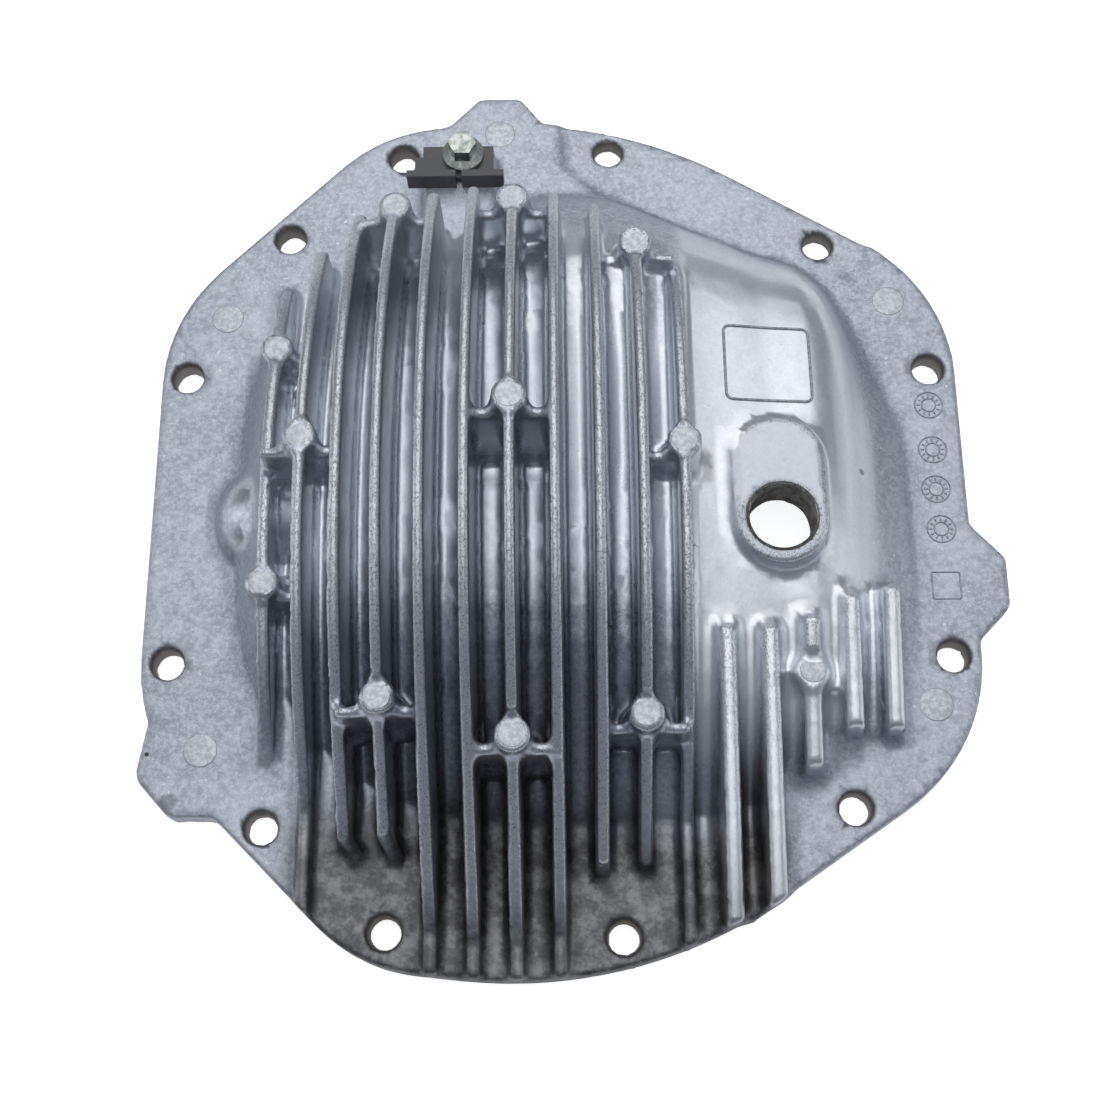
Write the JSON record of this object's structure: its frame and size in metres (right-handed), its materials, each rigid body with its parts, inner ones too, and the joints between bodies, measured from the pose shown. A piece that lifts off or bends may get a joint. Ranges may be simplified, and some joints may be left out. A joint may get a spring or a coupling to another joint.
{
  "type": "differential cover",
  "caption": "Finned cast-aluminium differential cover with a flat bolt flange, a domed cavity, pin bosses, a threaded filler boss and a small hose bracket.",
  "frame": {"origin": "centre of the four side bolt holes, on the gasket face", "axes": "+Z out of the gasket face towards the fins, +Y up as the cover is fitted, +X to the side of the filler boss"},
  "size_m": [0.2591, 0.2872, 0.0817],
  "materials": {
    "cast_aluminium": "satin",
    "bracket_steel": "satin",
    "bolt_steel": "satin"
  },
  "bodies": {
    "root": {"cover_casting": "cast_aluminium", "hose_bracket": "bracket_steel", "bracket_bolt": "bolt_steel"}
  },
  "joints": []
}
